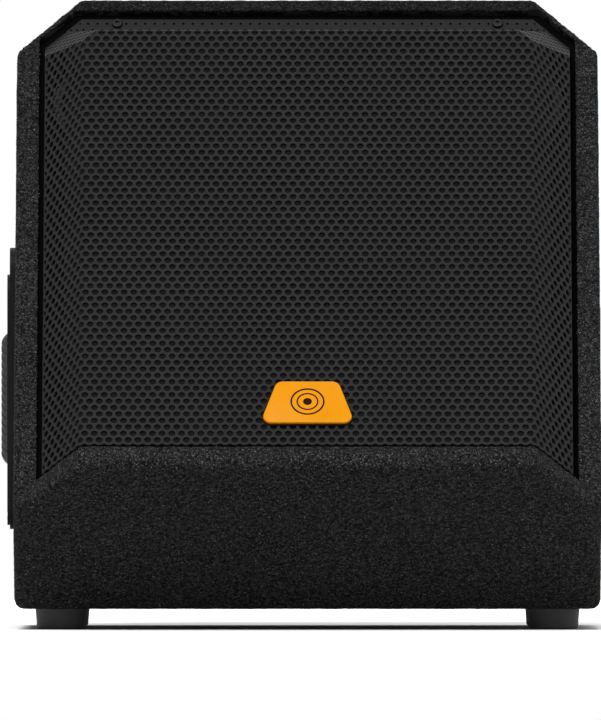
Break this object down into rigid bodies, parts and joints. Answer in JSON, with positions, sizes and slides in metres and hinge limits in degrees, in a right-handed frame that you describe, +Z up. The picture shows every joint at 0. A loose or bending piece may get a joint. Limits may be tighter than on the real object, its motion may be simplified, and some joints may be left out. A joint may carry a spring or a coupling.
{
  "type": "stage monitor wedge",
  "caption": "Carpeted floor monitor loudspeaker wedge with a folded perforated steel grille, side bar handle, side terminal dish and rubber feet.",
  "frame": {"origin": "centre of the bounding box at floor level", "axes": "+X to the right seen from the listener in front of the grille, -Y towards the listener, +Z up"},
  "size_m": [0.4434, 0.476, 0.4648],
  "materials": {
    "carpet": "black needle-punched carpet",
    "plywood": "birch plywood",
    "baffle_paint": "black textured paint on plywood",
    "grille_black": "black powder coat on perforated steel",
    "foam": "open-cell acoustic foam",
    "badge_amber": "amber enamel",
    "black_screw": "black zinc",
    "zinc_screw": "zinc plate",
    "basket_black": "black paint on cast alloy",
    "gasket": "soft gasket",
    "ferrite": "sintered ferrite",
    "steel": "zinc-plated steel",
    "cone_paper": "black pulp",
    "copper": "enamelled copper",
    "surround_cloth": "doped cloth",
    "spider_cloth": "resin-stiffened cotton",
    "horn_plastic": "moulded, fine texture",
    "cover_plastic": "moulded",
    "diaphragm": "thin titanium-grey dome",
    "handle_plastic": "moulded, grained",
    "grip_rubber": "ribbed soft grip",
    "bar_steel": "black paint",
    "plate_black": "moulded dish plate",
    "socket_black": "glass-filled nylon",
    "jack_nickel": "nickel plate",
    "board": "green laminate",
    "nylon": "natural nylon",
    "capacitor": "wrapped film",
    "resistor": "cement body",
    "lead_pvc": "flexible sleeve",
    "wadding": "polyester wadding",
    "foot_rubber": "moulded rubber"
  },
  "bodies": {
    "cabinet": {"carpet_cover": "carpet", "kick_board": "plywood", "side_panel_left": "plywood", "side_panel_right": "plywood", "top_panel": "plywood", "corner_panels": "plywood", "back_panel": "plywood", "floor_panel": "plywood", "baffle": "baffle_paint", "baffle_cleats": "plywood", "back_brace": "plywood", "grille": "grille_black", "grille_foam": "foam", "grille_screws": "black_screw", "badge": "badge_amber", "woofer_basket": "basket_black", "woofer_gasket": "gasket", "woofer_screws": "black_screw", "woofer_top_plate": "steel", "woofer_magnet": "ferrite", "woofer_yoke": "steel", "cone_surround": "surround_cloth", "cone_spider": "spider_cloth", "horn": "horn_plastic", "horn_screws": "black_screw", "driver_front_plate": "steel", "driver_magnet": "ferrite", "driver_back_plate": "steel", "phase_plug": "cover_plastic", "diaphragm_surround": "surround_cloth", "driver_rear_cover": "cover_plastic", "port_tubes": "horn_plastic", "handle_cup": "handle_plastic", "handle_plate": "handle_plastic", "handle_grip": "grip_rubber", "handle_bar_ends": "bar_steel", "handle_screws": "black_screw", "terminal_plate": "plate_black", "terminal_screws": "black_screw", "twist_lock_sockets": "socket_black", "jack_sockets": "jack_nickel", "crossover_board": "board", "board_standoffs": "nylon", "crossover_coils": "copper", "crossover_capacitors": "capacitor", "crossover_resistors": "resistor", "input_lead": "lead_pvc", "woofer_lead": "lead_pvc", "horn_lead": "lead_pvc", "damping_wadding": "wadding", "rubber_feet": "foot_rubber", "foot_washers": "zinc_screw", "foot_screws": "zinc_screw"},
    "cone": {"woofer_cone": "cone_paper", "dust_cap": "cone_paper", "voice_coil": "copper"},
    "diaphragm": {"driver_diaphragm": "diaphragm"}
  },
  "joints": [
    {"name": "cone_travel", "type": "slide", "parent": "cabinet", "child": "cone", "axis": [0, -0.766, 0.6428], "range_m": [-0.005, 0.005], "stiffness_N_per_m": 5000, "deforming": ["cone_surround", "cone_spider"]},
    {"name": "diaphragm_travel", "type": "slide", "parent": "cabinet", "child": "diaphragm", "axis": [0, -0.766, 0.6428], "range_m": [-0.0004, 0.0004], "stiffness_N_per_m": 20000, "deforming": ["diaphragm_surround"]}
  ]
}
